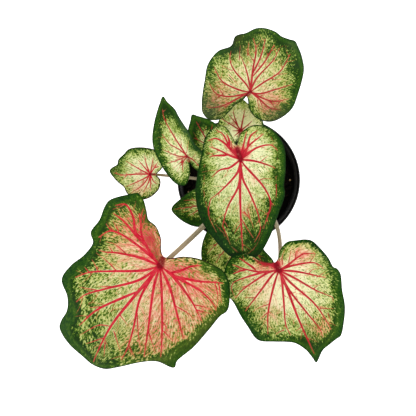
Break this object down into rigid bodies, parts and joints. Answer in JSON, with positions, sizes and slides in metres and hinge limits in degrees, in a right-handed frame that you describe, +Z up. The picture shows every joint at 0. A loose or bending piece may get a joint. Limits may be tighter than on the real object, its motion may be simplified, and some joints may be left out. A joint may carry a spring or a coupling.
{
  "type": "potted caladium",
  "caption": "Aroid house plant with heart-shaped, red-veined leaves on arching stems, rooted in a round nursery pot of soil.",
  "frame": {"origin": "middle of the pot's base, on the surface that the pot stands on", "axes": "+Z up, +Y towards the leaf that reaches out at the back, +X to the right of the largest leaf"},
  "size_m": [0.3409, 0.3995, 0.3428],
  "materials": {
    "pot_plastic": "satin",
    "potting_mix": "matte",
    "corm": "matte",
    "leaf_tissue": "satin",
    "leaf_stem": "satin"
  },
  "bodies": {
    "root": {"pot": "pot_plastic", "soil": "potting_mix", "tuber": "corm", "blade_front_left": "leaf_tissue", "blade_front_right": "leaf_tissue", "blade_top": "leaf_tissue", "blade_back": "leaf_tissue", "blade_back_left": "leaf_tissue", "blade_left": "leaf_tissue", "blade_back_left_low": "leaf_tissue", "blade_back_low": "leaf_tissue", "blade_left_low": "leaf_tissue", "blade_front_low": "leaf_tissue", "petiole_front_left": "leaf_stem", "petiole_front_right": "leaf_stem", "petiole_top": "leaf_stem", "petiole_back": "leaf_stem", "petiole_back_left": "leaf_stem", "petiole_left": "leaf_stem", "petiole_back_left_low": "leaf_stem", "petiole_back_low": "leaf_stem", "petiole_left_low": "leaf_stem", "petiole_front_low": "leaf_stem"}
  },
  "joints": []
}
